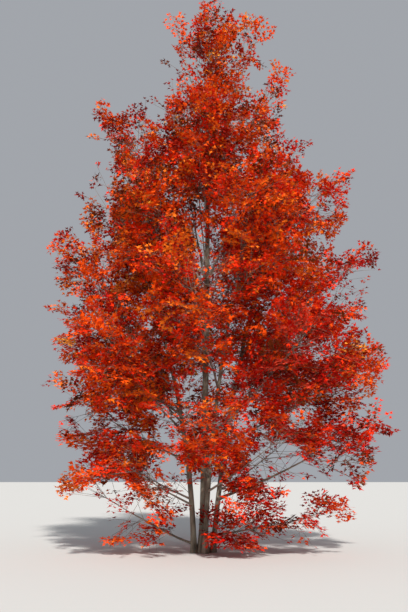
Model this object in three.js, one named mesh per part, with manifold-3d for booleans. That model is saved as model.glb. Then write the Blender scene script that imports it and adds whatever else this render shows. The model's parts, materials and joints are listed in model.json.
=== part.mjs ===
// A red maple in autumn leaf: a clump of four stems from one root, its main boughs, and its masses of foliage.
// Millimetres, +Z up. The origin is the middle of the flat cut under the trunk, at ground level.
// Azimuths are in degrees round the trunk: 0 is +X, 90 is +Y.
import * as THREE from "three";
import { mergeVertices } from "three/addons/utils/BufferGeometryUtils.js";
import Module from "manifold-3d";

const wasm = await Module();
wasm.setup();

// Driving sizes
const HEIGHT = 10960;
const GAP = 0.3; // between pieces that touch
const GROUND_CLEARANCE = 60; // of the lowest leaf
const FLARE = { width: 62, height: 210, ribs: 5, rib: 0.3 }; // the root flare of the trunk
const FOOT_FLARE = { width: 20, height: 150, ribs: 4, rib: 0.25 }; // the flare of the other stems
const STEM_RINGS = 12;
const BOUGH_SIDES = 5;
const BOUGH_RINGS = 3;
const BOUGH_TIP_RADIUS = 16; // where a bough ends and its mass of foliage begins
const BOUGH_TAPER = 0.009; // radius that a bough gains towards its root, for each mm of its length
const BOUGH_BARE = 0.24; // share of a bough's line that is bare, before its mass
const BOUGH_KNEE = { out: 0.5, up: 0.38 }; // where a bough bends, as shares of its run and its rise
const BARE_START = 0.18; // share of a direct mass's stem that is bare
const MASS_STEM_TIP = 11; // radius of a mass's stem at its end, where its last twig goes on
const TWIG_RADIUS = 5.5;
const TWIG_TAPER = 0.65;
const TWIG_ANGLE = 54; // between a twig and the stem of its mass
const TWIG_JITTER = 24;
const TWIG_SHORTEST = 240;
const TWIG_CUTS = [1, 0.8, 0.6, 0.4, 0.25]; // lengths that are tried until a twig stays in its mass's space
const PAIR_STEP = 450; // between pairs of twigs, each turned a quarter from the last
// A spray of leaves is one blade. Its width and thickness are shares of its length.
const SPRAY = { length: 660, width: 0.92, shoulder: 0.52, thickness: 0.045, angle: 76, tilt: 2 };
const SPRAY_STEP = 420; // between pairs of sprays along a twig
const SPRAY_START = 180; // from a twig's tip back to its first pair of sprays
const SPRAY_CLEAR = 90; // bare length of a twig at its root
const SPRAY_CUTS = [1, 0.8, 0.62]; // sizes that are tried until a spray stays in its mass's space
const SPRAY_APART = 0.62; // least distance between the middles of two sprays, as a share of a spray's length
const SPACE_BALLS = 7; // a mass's space is a chain of this many balls along its line
const SPACE_TAPER = 0.42; // share of its half width that a space loses towards its tip
const SPACE_MARGIN = 1.04; // how much nearer its own line than any other a point of a mass is
const FILL = 1.8; // how many times its half width a mass may spread inside the crown, up to its neighbours
const TWIG_REACH = 1.4; // how far out a twig's spray is tried first, in half widths of its mass
const SMOOTH = 0.6; // detail that is dropped where twigs and sprays are fused

// The inside of the crown, below its outer tips: heights and half widths, round a middle that lies a little to +X
const CROWN_LEAN = 120;
const CROWN = [
  [1900, 2600],
  [3400, 2950],
  [5200, 2700],
  [7000, 2200],
  [8500, 1550],
  [9400, 1000],
  [10400, 900],
  [10900, 500],
];

const BARK = { color: 0x8b8378, roughness: 0.9, metalness: 0 };
const TINTS = {
  scarlet: 0xc8331c,
  orange: 0xd2561f,
  crimson: 0xb01c24,
};

// The stems: foot at ground level, knee that the line bends towards, and tip of the foliage that it carries.
// bare is the share of the line below that foliage.
const STEMS = [
  { name: "trunk", foot: [0, 0], knee: [90, 30, 5600], tip: [150, -20, HEIGHT], bare: 0.8,
    radius: 62, sides: 10, spread: 990, tint: "orange" },
  { name: "stem_left", foot: [-165, -35], knee: [-250, -60, 3900], tip: [-2120, -150, 7350], bare: 0.62,
    radius: 42, sides: 8, spread: 1040, tint: "orange" },
  { name: "stem_mid", foot: [35, -150], knee: [150, -420, 3600], tip: [1150, -2250, 7000], bare: 0.6,
    radius: 38, sides: 8, spread: 1270, tint: "scarlet" },
  { name: "stem_right", foot: [185, 60], knee: [480, 250, 3600], tip: [2000, 480, 8250], bare: 0.62,
    radius: 40, sides: 8, spread: 1070, tint: "scarlet" },
];

// The boughs: the stem and the height that each leaves it at, then the tip of its foliage as azimuth, reach from
// the trunk's foot and height, and the half width of that foliage. A direct one has no limb of its own: the stem of
// its mass grows from the trunk or stem. bare is given where it isn't BOUGH_BARE.
const BOUGHS = [
  { name: "top_left", from: "trunk", at: 8050, azimuth: 186, reach: 640, height: 10830, spread: 730,
    tint: "orange", direct: true },
  { name: "top_right", from: "trunk", at: 7850, azimuth: 352, reach: 1290, height: 10600, spread: 800,
    tint: "orange", direct: true },
  { name: "tuft_right", from: "trunk", at: 7000, azimuth: 4, reach: 1720, height: 9780, spread: 780,
    tint: "orange", direct: true },
  { name: "leader_left", from: "trunk", at: 4950, azimuth: 164, reach: 720, height: 9750, spread: 830,
    tint: "orange" },
  { name: "leader_right", from: "trunk", at: 5200, azimuth: 352, reach: 2930, height: 7250, spread: 1070,
    tint: "scarlet" },
  { name: "shoulder_left", from: "trunk", at: 6350, azimuth: 178, reach: 2150, height: 8800, spread: 1000,
    tint: "scarlet" },
  { name: "high_back", from: "trunk", at: 6300, azimuth: 88, reach: 1500, height: 9250, spread: 1120,
    tint: "orange", direct: true },
  { name: "high_front", from: "trunk", at: 5950, azimuth: 266, reach: 1550, height: 9000, spread: 1120,
    tint: "scarlet", direct: true },
  { name: "upper_left_back", from: "trunk", at: 4600, azimuth: 134, reach: 2350, height: 7450, spread: 1220,
    tint: "orange", direct: true },
  { name: "upper_left_front", from: "trunk", at: 4400, azimuth: 224, reach: 2350, height: 7250, spread: 1220,
    tint: "orange" },
  { name: "upper_right_back", from: "trunk", at: 4150, azimuth: 62, reach: 2650, height: 7000, spread: 1250,
    tint: "scarlet" },
  { name: "middle_back", from: "trunk", at: 3200, azimuth: 100, reach: 2950, height: 5450, spread: 1250,
    tint: "orange", direct: true },
  { name: "low_back", from: "trunk", at: 1500, azimuth: 88, reach: 2850, height: 2900, spread: 1140,
    tint: "scarlet", direct: true },
  { name: "spike_right", from: "stem_right", at: 3700, azimuth: 1, reach: 3400, height: 5830, spread: 960,
    tint: "crimson" },
  { name: "lower_right_back", from: "stem_right", at: 2500, azimuth: 42, reach: 3150, height: 4600, spread: 1250,
    tint: "scarlet" },
  { name: "inner_right", from: "stem_right", at: 3100, azimuth: 345, reach: 2100, height: 5500, spread: 950,
    tint: "scarlet", direct: true },
  { name: "broad_right", from: "stem_right", at: 2000, azimuth: 5, reach: 3480, height: 3800, spread: 1090,
    tint: "orange" },
  { name: "low_right", from: "stem_right", at: 950, azimuth: 354, reach: 3400, height: 2500, spread: 1100,
    tint: "crimson", bare: 0.45 },
  { name: "low_right_back", from: "stem_right", at: 1100, azimuth: 42, reach: 2900, height: 2450, spread: 1000,
    tint: "crimson", direct: true },
  { name: "foot_right", from: "stem_right", at: 300, azimuth: 345, reach: 2750, height: 850, spread: 700,
    tint: "crimson", direct: true },
  { name: "middle_left", from: "stem_left", at: 3300, azimuth: 181, reach: 2860, height: 6050, spread: 1040,
    tint: "orange" },
  { name: "lower_left", from: "stem_left", at: 2500, azimuth: 177, reach: 2900, height: 4700, spread: 990,
    tint: "orange" },
  { name: "inner_left", from: "stem_left", at: 2900, azimuth: 200, reach: 2350, height: 5350, spread: 950,
    tint: "orange", direct: true },
  { name: "lower_left_back", from: "stem_left", at: 2350, azimuth: 130, reach: 2900, height: 4300, spread: 1170,
    tint: "orange" },
  { name: "lower_left_front", from: "stem_left", at: 2150, azimuth: 230, reach: 2950, height: 4100, spread: 1170,
    tint: "scarlet" },
  { name: "broad_left", from: "stem_left", at: 1650, azimuth: 180, reach: 2960, height: 3200, spread: 1070,
    tint: "scarlet" },
  { name: "foot_left", from: "stem_left", at: 150, azimuth: 186, reach: 2500, height: 1450, spread: 800,
    tint: "scarlet", bare: 0.3 },
  { name: "low_left_front", from: "stem_left", at: 850, azimuth: 226, reach: 2650, height: 2000, spread: 1040,
    tint: "scarlet", direct: true },
  { name: "low_left_back", from: "stem_left", at: 950, azimuth: 138, reach: 2700, height: 1850, spread: 1040,
    tint: "orange", direct: true },
  { name: "middle_front", from: "stem_mid", at: 2950, azimuth: 262, reach: 2950, height: 5350, spread: 1250,
    tint: "scarlet" },
  { name: "lower_right_front", from: "stem_mid", at: 2150, azimuth: 316, reach: 3150, height: 4450, spread: 1220,
    tint: "crimson" },
  { name: "low_front", from: "stem_mid", at: 1350, azimuth: 262, reach: 2750, height: 2900, spread: 1120,
    tint: "scarlet" },
  { name: "low_right_front", from: "stem_mid", at: 1100, azimuth: 308, reach: 2900, height: 2500, spread: 950,
    tint: "crimson", direct: true },
  { name: "foot_front", from: "stem_mid", at: 250, azimuth: 335, reach: 1700, height: 950, spread: 950,
    tint: "crimson", direct: true },
];

// A seeded stream of numbers from 0 to 1, the same on every run.
function seeded(seed) {
  let state = seed;
  return () => {
    state = (state * 1664525 + 1013904223) % 4294967296;
    return state / 4294967296;
  };
}

const UP = new THREE.Vector3(0, 0, 1);
const radians = THREE.MathUtils.degToRad;

// Two directions square to a line and to each other: the first level, the second upwards.
function acrossFrame(along) {
  const level = new THREE.Vector3().crossVectors(along, UP);
  if (level.lengthSq() < 1e-9) level.set(0, 1, 0);
  level.normalize();
  return [level, new THREE.Vector3().crossVectors(level, along).normalize()];
}

// The same for a line that runs mostly upwards, without a sudden turn where it is upright.
function uprightFrame(along) {
  const side = new THREE.Vector3(0, 1, 0).addScaledVector(along, -along.y).normalize();
  return [side, new THREE.Vector3().crossVectors(side, along)];
}

// The part of a bent line between two shares of its length, as a curve of its own.
function partOf(curve, from, to) {
  const { v0, v1, v2 } = curve;
  const blend = (a, b) => {
    const near = v0.clone().lerp(v1, a);
    const far = v1.clone().lerp(v2, a);
    return near.lerp(far, b);
  };
  return new THREE.QuadraticBezierCurve3(blend(from, from), blend(from, to), blend(to, to));
}

// A closed mesh as a solid that can be joined and cut.
function solidOf(geometry) {
  geometry.deleteAttribute("normal");
  geometry.deleteAttribute("uv");
  const merged = mergeVertices(geometry, 1e-3);
  return new wasm.Manifold(
    new wasm.Mesh({
      numProp: 3,
      vertProperties: merged.attributes.position.array,
      triVerts: new Uint32Array(merged.index.array),
    }),
  );
}

// A limb: a cylinder bent along its line, with radiusAt(share, angle) all along it. frameAt gives the two
// directions that each ring lies in.
function limbSolid(curve, radiusAt, sides, rings, frameAt = (share) => acrossFrame(curve.getTangent(share))) {
  const geometry = new THREE.CylinderGeometry(1, 1, 1, sides, rings);
  const place = geometry.attributes.position;
  const at = new THREE.Vector3();
  for (let i = 0; i < place.count; i++) {
    const share = place.getY(i) + 0.5;
    const angle = Math.atan2(place.getZ(i), place.getX(i));
    const radius = Math.hypot(place.getX(i), place.getZ(i)) * radiusAt(share, angle);
    const [side, rise] = frameAt(share);
    at.copy(curve.getPoint(share))
      .addScaledVector(side, radius * Math.cos(angle))
      .addScaledVector(rise, radius * Math.sin(angle));
    place.setXYZ(i, at.x, at.y, at.z);
  }
  return solidOf(geometry);
}

// A stem's radius: it tapers steadily, over a flare with ribs at its foot.
function stemRadius(stem, share, angle) {
  const flare = stem.name === "trunk" ? FLARE : FOOT_FLARE;
  const z = share * stem.tip[2];
  const rise = Math.exp(-z / flare.height);
  const ribs = 1 + flare.rib * Math.cos(flare.ribs * angle);
  const taper = (1 - share) ** 0.85;
  return BOUGH_TIP_RADIUS * 0.7 + stem.radius * taper + flare.width * rise * ribs;
}

// The rings of a stem stand closer together at its foot, where it flares. The lowest is level, for a flat cut at
// the ground, and the highest is square to the line.
const crowdFoot = (share) => share ** 1.7;

function stemSolid(stem, extra = 0) {
  const bare = partOf(stem.line, 0, stem.bare);
  const crowded = new THREE.Curve();
  crowded.getPoint = (share) => bare.getPoint(crowdFoot(share));
  const radiusAt = (share, angle) => stemRadius(stem, crowdFoot(share) * stem.bare, angle) + extra;
  const frameAt = (share) => uprightFrame(UP.clone().lerp(bare.getTangent(crowdFoot(share)), share).normalize());
  return limbSolid(crowded, radiusAt, stem.sides, STEM_RINGS, frameAt);
}

function boughSolid(bough) {
  const bare = partOf(bough.line, 0, bough.bare);
  const length = bare.getLength();
  const radiusAt = (share) => BOUGH_TIP_RADIUS + BOUGH_TAPER * length * (1 - share);
  return limbSolid(bare, radiusAt, BOUGH_SIDES, BOUGH_RINGS);
}

const point = (xyz) => new THREE.Vector3(...xyz);

for (const stem of STEMS) {
  const foot = point([...stem.foot, 0]);
  stem.line = new THREE.QuadraticBezierCurve3(foot, point(stem.knee), point(stem.tip));
}

// The point of a stem's line at a height.
function stemAt(stem, height) {
  let [low, high] = [0, 1];
  for (let i = 0; i < 40; i++) {
    const middle = (low + high) / 2;
    if (stem.line.getPoint(middle).z < height) low = middle;
    else high = middle;
  }
  return stem.line.getPoint(low);
}

for (const bough of BOUGHS) {
  bough.parent = STEMS.find((stem) => stem.name === bough.from);
  const root = stemAt(bough.parent, bough.at);
  const turn = radians(bough.azimuth);
  const tip = point([Math.cos(turn) * bough.reach, Math.sin(turn) * bough.reach, bough.height]);
  const knee = root.clone();
  knee.x += (tip.x - root.x) * BOUGH_KNEE.out;
  knee.y += (tip.y - root.y) * BOUGH_KNEE.out;
  knee.z += (tip.z - root.z) * BOUGH_KNEE.up;
  bough.line = new THREE.QuadraticBezierCurve3(root, knee, tip);
  bough.bare = bough.direct ? 0 : (bough.bare ?? BOUGH_BARE);
}

// The masses of foliage: one on the tip of each stem and bough. Its line goes on from the limb's, and its space is
// a chain of balls along that line.
const MASSES = [...STEMS, ...BOUGHS].map((limb, index) => {
  const line = partOf(limb.line, limb.bare, 1);
  const balls = [];
  const first = limb.direct ? BARE_START : 0;
  for (let i = 0; i < SPACE_BALLS; i++) {
    const share = i / (SPACE_BALLS - 1);
    const radius = limb.spread * (1 - SPACE_TAPER * share ** 2);
    balls.push({ centre: line.getPoint(first + (1 - first) * share), radius });
  }
  const end = line.getLength() - SPRAY.length - TWIG_SHORTEST;
  const rings = Math.max(2, Math.round(((1 - first) * end) / PAIR_STEP));
  const reach = end / line.getLength();
  return { limb, index, line, balls, first, rings, reach, name: "leaves_" + limb.name.replace("stem_", "stem_top_") };
});
MASSES[0].name = "leaves_crown_top";

// How far a point is from the middle of a mass's space: 0 on its line, 1 at its edge.
const depthIn = (mass, at) => Math.min(...mass.balls.map((ball) => at.distanceTo(ball.centre) / ball.radius));

// Whether a point is inside the crown, below its outer tips.
function inCrown(at) {
  const above = CROWN.findIndex(([height]) => at.z < height);
  if (above < 1) return false;
  const [low, high] = [CROWN[above - 1], CROWN[above]];
  const limit = THREE.MathUtils.mapLinear(at.z, low[0], high[0], low[1], high[1]);
  return Math.hypot(at.x - CROWN_LEAN, at.y) < limit;
}

function inSpace(mass, at) {
  const own = depthIn(mass, at);
  return (
    own < (inCrown(at) ? FILL : 1) &&
    at.z > GROUND_CLEARANCE &&
    MASSES.every((other) => other === mass || own * SPACE_MARGIN < depthIn(other, at))
  );
}

// The point at a share of a mass's stem, which is straight from ring to ring.
function onStem(mass, share) {
  const ring = Math.min(Math.floor(share * mass.rings), mass.rings - 1);
  const low = mass.line.getPoint((ring / mass.rings) * mass.reach);
  const high = mass.line.getPoint(((ring + 1) / mass.rings) * mass.reach);
  return low.lerp(high, share * mass.rings - ring);
}

// The half width of a mass at a share of its line.
const widthAt = (mass, share) => mass.limb.spread * (1 - SPACE_TAPER * share ** 2);

// A spray's corners: its root, left shoulder, right shoulder, the crown of its upper face, and its tip.
function sprayCorners(root, direction, normal, length) {
  const side = new THREE.Vector3().crossVectors(normal, direction);
  const corner = (along, across, lift) =>
    root
      .clone()
      .addScaledVector(direction, along * length)
      .addScaledVector(side, across * length)
      .addScaledVector(normal, lift * length);
  const { shoulder, width, thickness } = SPRAY;
  return [
    corner(0, 0, 0),
    corner(shoulder, -width / 2, 0),
    corner(shoulder, width / 2, 0),
    corner(shoulder, 0, thickness),
    corner(1, 0, 0),
  ];
}

const middleOf = ([root, , , , tip]) => root.clone().lerp(tip, SPRAY.shoulder);

// The largest spray that fits at a root: it stays in the mass's space and clear of the sprays already there.
function fittedSpray(mass, sprays, root, direction, random) {
  const normal = new THREE.Vector3(random() - 0.5, random() - 0.5, 0).multiplyScalar(2 * SPRAY.tilt).add(UP);
  normal.addScaledVector(direction, -normal.dot(direction)).normalize();
  const length = SPRAY.length * (0.85 + 0.3 * random());
  const sizes = SPRAY_CUTS.map((cut) => sprayCorners(root, direction, normal, length * cut));
  const fits = (corners) =>
    corners.slice(1).every((corner) => inSpace(mass, corner)) &&
    sprays.every((other) => middleOf(other).distanceTo(middleOf(corners)) > SPRAY_APART * SPRAY.length);
  return { corners: sizes.find(fits), normal };
}

// A direction turned from the way it was, level with it, by an angle in degrees.
function turned(direction, angle) {
  const [level] = acrossFrame(direction);
  const turn = radians(angle);
  return direction.clone().multiplyScalar(Math.cos(turn)).addScaledVector(level, Math.sin(turn)).normalize();
}

// The twigs of a mass, each with the spray on its tip: opposite pairs along the mass's stem, each pair turned a
// quarter from the last, and a twig that goes on from the stem's end. Each is made shorter or skipped where its
// spray would leave the mass's space.
function twigsOf(mass) {
  const random = seeded(mass.index * 7919 + 10);
  const twigs = [];
  const sprays = [];
  const addTwig = (root, direction, lengths, radius) => {
    for (const length of lengths) {
      const end = root.clone().addScaledVector(direction, length);
      const { corners, normal } = fittedSpray(mass, sprays, end, direction, random);
      if (!corners) continue;
      sprays.push(corners);
      twigs.push({ root, direction, length, radius, corners, normal });
      return;
    }
  };
  const last = mass.line.getPoint(mass.reach);
  const before = onStem(mass, 1 - 0.5 / mass.rings);
  const onwards = last.clone().sub(before).normalize();
  addTwig(last.clone().addScaledVector(onwards, -40), onwards, [TWIG_SHORTEST + 60], MASS_STEM_TIP * 0.42);
  for (let pair = 0; pair < mass.rings; pair++) {
    const share = mass.first + (mass.reach - mass.first) * ((pair + 0.5) / mass.rings);
    const along = mass.line.getTangent(share);
    const [level, rise] = acrossFrame(along);
    const turn = (pair * Math.PI) / 2 + (random() - 0.5) + mass.index;
    for (const side of [0, Math.PI]) {
      const angle = radians(TWIG_ANGLE + TWIG_JITTER * (random() - 0.5));
      const wide = TWIG_REACH * widthAt(mass, share) * (0.85 + 0.3 * random());
      const full = wide / Math.sin(angle) - 0.7 * SPRAY.length;
      const out = level.clone().multiplyScalar(Math.cos(turn + side));
      out.addScaledVector(rise, Math.sin(turn + side));
      const direction = along.clone().multiplyScalar(Math.cos(angle)).addScaledVector(out, Math.sin(angle));
      const lengths = TWIG_CUTS.map((cut) => cut * Math.max(TWIG_SHORTEST, full));
      addTwig(onStem(mass, share / mass.reach), direction, lengths, TWIG_RADIUS);
    }
  }
  return { twigs, sprays };
}

// The other sprays of a mass: opposite pairs along its twigs, and along its stem between the pairs of twigs.
function sideSpraysOf(mass, twigs, sprays) {
  const random = seeded(mass.index * 104729 + 71);
  const added = [];
  const addPair = (root, direction) => {
    for (const side of [1, -1]) {
      const way = turned(direction, side * SPRAY.angle);
      const { corners } = fittedSpray(mass, sprays, root, way, random);
      if (!corners) continue;
      sprays.push(corners);
      added.push(corners);
    }
  };
  for (const twig of twigs) {
    for (let back = SPRAY_START; back < twig.length - SPRAY_CLEAR; back += SPRAY_STEP) {
      addPair(twig.root.clone().addScaledVector(twig.direction, twig.length - back), twig.direction);
    }
  }
  for (let pair = 0; pair < mass.rings; pair++) {
    const share = mass.first + (mass.reach - mass.first) * ((pair + 0.9) / mass.rings);
    addPair(onStem(mass, share / mass.reach), mass.line.getTangent(share));
  }
  return added;
}

// Three corners round a point, the first on the side that the normal shows.
function threeRound(centre, direction, normal, radius) {
  const side = new THREE.Vector3().crossVectors(normal, direction);
  return [0, 120, 240].map((angle) =>
    centre
      .clone()
      .addScaledVector(normal, radius * Math.cos(radians(angle)))
      .addScaledVector(side, -radius * Math.sin(radians(angle))),
  );
}

function facesSolid(corners, faces, origin) {
  const geometry = new THREE.BufferGeometry().setFromPoints(corners.map((corner) => corner.clone().sub(origin)));
  geometry.setIndex(faces);
  return solidOf(geometry);
}

// A three-sided twig and the spray on its tip, as one closed solid.
const TWIG_FACES = [0, 1, 4, 0, 4, 3, 1, 2, 5, 1, 5, 4, 2, 0, 3, 2, 3, 5, 0, 2, 1];
const TIP_FACES = [3, 4, 6, 3, 6, 8, 8, 6, 9, 3, 8, 7, 3, 7, 5, 8, 9, 7, 4, 5, 7, 4, 7, 6, 6, 7, 9];

function twigSolid(twig, origin) {
  const { root, direction, length, radius, corners, normal } = twig;
  const end = root.clone().addScaledVector(direction, length);
  const base = threeRound(root, direction, normal, radius);
  const neck = threeRound(end, direction, normal, radius * TWIG_TAPER);
  return facesSolid([...base, ...neck, ...corners.slice(1)], [...TWIG_FACES, ...TIP_FACES], origin);
}

// A spray as one thin blade, flat below and thickest between its shoulders.
const spraySolid = (corners, origin) =>
  facesSolid(corners, [0, 1, 3, 1, 4, 3, 4, 2, 3, 2, 0, 3, 0, 2, 1, 1, 2, 4], origin);

// A solid as a named mesh, placed by its own origin.
function meshOf(name, solid, origin, look) {
  const { vertProperties, triVerts } = solid.getMesh();
  const geometry = new THREE.BufferGeometry();
  geometry.setAttribute("position", new THREE.BufferAttribute(new Float32Array(vertProperties), 3));
  geometry.setIndex(new THREE.BufferAttribute(new Uint32Array(triVerts), 1));
  geometry.computeVertexNormals();
  const mesh = new THREE.Mesh(geometry, new THREE.MeshStandardMaterial(look));
  mesh.name = name;
  mesh.position.copy(origin);
  return mesh;
}

const shifted = (solid, origin) => solid.translate(-origin.x, -origin.y, -origin.z);
const touches = (a, b) => !a.intersect(b).isEmpty();

// The largest piece of a solid: what else the fusing left is a loose scrap.
function largestPiece(solid) {
  const pieces = solid.decompose();
  return pieces.reduce((best, piece) => (piece.volume() > best.volume() ? piece : best));
}

// The wood: the trunk is whole, and each other limb is cut clear of the limbs before it.
const wood = new THREE.Group();
const limbs = [];
const addLimb = (limb, solid, cutters) => {
  const cut = cutters.reduce((left, cutter) => left.subtract(cutter), solid);
  limb.solid = largestPiece(cut);
  limbs.push(limb.solid);
  const origin = limb.line.getPoint(0);
  wood.add(meshOf(limb.name, shifted(limb.solid, origin), origin, BARK));
};
STEMS.forEach((stem, i) => addLimb(stem, stemSolid(stem), STEMS.slice(0, i).map((other) => stemSolid(other, GAP))));
for (const bough of BOUGHS.filter((each) => !each.direct)) {
  addLimb(bough, boughSolid(bough), STEMS.map((stem) => stemSolid(stem, GAP)));
}

// A mass of foliage: its stem, its twigs and its sprays, fused.
function massSolid(mass) {
  const { twigs, sprays } = twigsOf(mass);
  const origin = mass.line.getPoint(0);
  const start = mass.limb.direct ? 0 : GAP / (2 * mass.line.v0.distanceTo(mass.line.v1));
  const stemLine = partOf(mass.line, start, mass.reach);
  const extra = mass.limb.direct ? BOUGH_TAPER * mass.line.getLength() * BOUGH_BARE : 0;
  const stemRadiusAt = (share) =>
    BOUGH_TIP_RADIUS + (MASS_STEM_TIP - BOUGH_TIP_RADIUS) * share + extra * (1 - share) ** 2;
  let stem = limbSolid(stemLine, stemRadiusAt, 3, mass.rings);
  if (mass.limb.direct) stem = largestPiece(stem.subtract(stemSolid(mass.limb.parent, GAP)));
  const blocked = limbs.map((limb) => shifted(limb, origin));
  const clear = (solid) => blocked.every((limb) => !touches(solid, limb));
  const pieces = [
    ...twigs.map((twig) => twigSolid(twig, origin)),
    ...sideSpraysOf(mass, twigs, sprays).map((corners) => spraySolid(corners, origin)),
  ].filter(clear);
  const fused = wasm.Manifold.union([shifted(stem, origin), ...pieces]);
  return { solid: largestPiece(fused.simplify(SMOOTH)), origin };
}

const foliage = new THREE.Group();
for (const mass of MASSES) {
  const { solid, origin } = massSolid(mass);
  foliage.add(meshOf(mass.name, solid, origin, { color: TINTS[mass.limb.tint], roughness: 0.7, metalness: 0 }));
}

const tree = new THREE.Group();
tree.name = "red_maple";
tree.add(wood, foliage);

export default tree;
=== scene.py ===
"""A red maple in autumn leaf, in a plain studio.

Bark, twigs and single leaves are grown over the frame's plain solids. Metres, +Z up. Azimuths are in degrees
round the trunk: 0 is +X, 90 is +Y, away from the camera.
"""
import json
import math

import bpy
import numpy as np
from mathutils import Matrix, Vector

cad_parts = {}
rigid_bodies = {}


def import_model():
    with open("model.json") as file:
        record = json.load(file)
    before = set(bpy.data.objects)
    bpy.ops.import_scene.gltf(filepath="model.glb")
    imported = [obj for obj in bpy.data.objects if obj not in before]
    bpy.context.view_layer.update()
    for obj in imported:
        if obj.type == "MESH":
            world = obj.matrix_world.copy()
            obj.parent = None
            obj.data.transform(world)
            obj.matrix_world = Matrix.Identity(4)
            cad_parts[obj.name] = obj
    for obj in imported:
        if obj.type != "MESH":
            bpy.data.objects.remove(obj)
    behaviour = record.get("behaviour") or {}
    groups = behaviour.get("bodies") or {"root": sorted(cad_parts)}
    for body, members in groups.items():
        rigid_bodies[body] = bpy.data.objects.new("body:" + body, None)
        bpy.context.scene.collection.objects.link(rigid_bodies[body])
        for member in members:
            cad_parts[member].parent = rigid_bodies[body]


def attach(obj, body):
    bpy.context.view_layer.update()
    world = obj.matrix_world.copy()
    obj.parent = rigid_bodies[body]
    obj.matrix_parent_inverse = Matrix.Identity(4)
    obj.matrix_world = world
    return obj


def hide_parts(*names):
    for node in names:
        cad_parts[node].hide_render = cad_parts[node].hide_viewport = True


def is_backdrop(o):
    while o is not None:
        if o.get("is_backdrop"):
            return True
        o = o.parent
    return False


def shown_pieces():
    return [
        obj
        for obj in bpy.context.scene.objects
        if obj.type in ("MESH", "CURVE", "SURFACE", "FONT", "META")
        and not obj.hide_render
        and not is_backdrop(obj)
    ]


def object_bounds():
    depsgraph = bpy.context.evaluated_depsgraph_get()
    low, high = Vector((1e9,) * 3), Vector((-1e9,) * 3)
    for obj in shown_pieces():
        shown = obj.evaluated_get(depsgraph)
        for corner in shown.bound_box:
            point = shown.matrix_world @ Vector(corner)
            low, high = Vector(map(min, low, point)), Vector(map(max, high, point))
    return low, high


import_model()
frame_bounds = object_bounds()
box_low, box_high = np.array(frame_bounds)

# Camera: a person's eye height in front of the tree, tilted up to take in its top
CAMERA_PLACE = np.array([0.02, -16.1, 1.6])
CAMERA_TILT = 10.5
LENS_MM = 50
SENSOR_MM = 36  # along the picture's long side


def add_camera():
    camera = bpy.data.objects.new("camera", bpy.data.cameras.new("camera"))
    camera.location = CAMERA_PLACE
    camera.rotation_euler = (math.radians(90 + CAMERA_TILT), 0, 0)
    camera.data.lens = LENS_MM
    camera.data.sensor_width = SENSOR_MM
    camera.data.clip_end = 200
    bpy.context.collection.objects.link(camera)
    bpy.context.scene.camera = camera


add_camera()

# The plant's named sizes, as in its solids
HEIGHT = 10.96
FLARE = {"width": 0.062, "height": 0.21, "ribs": 5, "rib": 0.3}
FOOT_FLARE = {"width": 0.02, "height": 0.15, "ribs": 4, "rib": 0.25}
GROUND_CLEARANCE = 0.06
STEM_TAPER = 0.85
BOUGH_TIP_RADIUS = 0.016
STEM_TIP_RADIUS = BOUGH_TIP_RADIUS * 0.7
BOUGH_TAPER = 0.009
BOUGH_BARE = 0.24
BOUGH_KNEE = {"out": 0.5, "up": 0.38}
BARE_START = 0.18
TWIG_RADIUS = 0.0055
TWIG_ANGLE = 54
TWIG_JITTER = 24
TWIG_SHORTEST = 0.24
TWIG_CUTS = [1, 0.8, 0.6, 0.4, 0.25]
LAST_TWIG = {"sunk": 0.04, "length": TWIG_SHORTEST + 0.06, "radius": 0.0046}
PAIR_STEP = 0.45
SPRAY = {"length": 0.66, "width": 0.92, "shoulder": 0.52, "thickness": 0.045, "angle": 76, "tilt": 2.0}
SPRAY_STEP = 0.42
SPRAY_START = 0.18
SPRAY_CLEAR = 0.09
SPRAY_CUTS = [1, 0.8, 0.62]
SPRAY_APART = 0.62
SPRAY_PAST = 0.7
SPACE_BALLS = 7
SPACE_TAPER = 0.42
SPACE_MARGIN = 1.04
FILL = 1.8
TWIG_REACH = 1.4
CROWN_LEAN = 0.12
CROWN = [(1.9, 2.6), (3.4, 2.95), (5.2, 2.7), (7.0, 2.2), (8.5, 1.55), (9.4, 1.0), (10.4, 0.9), (10.9, 0.5)]

# Stems: name, foot, knee, tip, bare share, radius, half width of the foliage, family of tints
STEMS = [
    ("trunk", (0, 0), (0.09, 0.03, 5.6), (0.15, -0.02, HEIGHT), 0.8, 0.062, 0.99, "orange"),
    ("stem_left", (-0.165, -0.035), (-0.25, -0.06, 3.9), (-2.12, -0.15, 7.35), 0.62, 0.042, 1.04, "orange"),
    ("stem_mid", (0.035, -0.15), (0.15, -0.42, 3.6), (1.15, -2.25, 7.0), 0.6, 0.038, 1.27, "scarlet"),
    ("stem_right", (0.185, 0.06), (0.48, 0.25, 3.6), (2.0, 0.48, 8.25), 0.62, 0.04, 1.07, "scarlet"),
]

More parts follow.
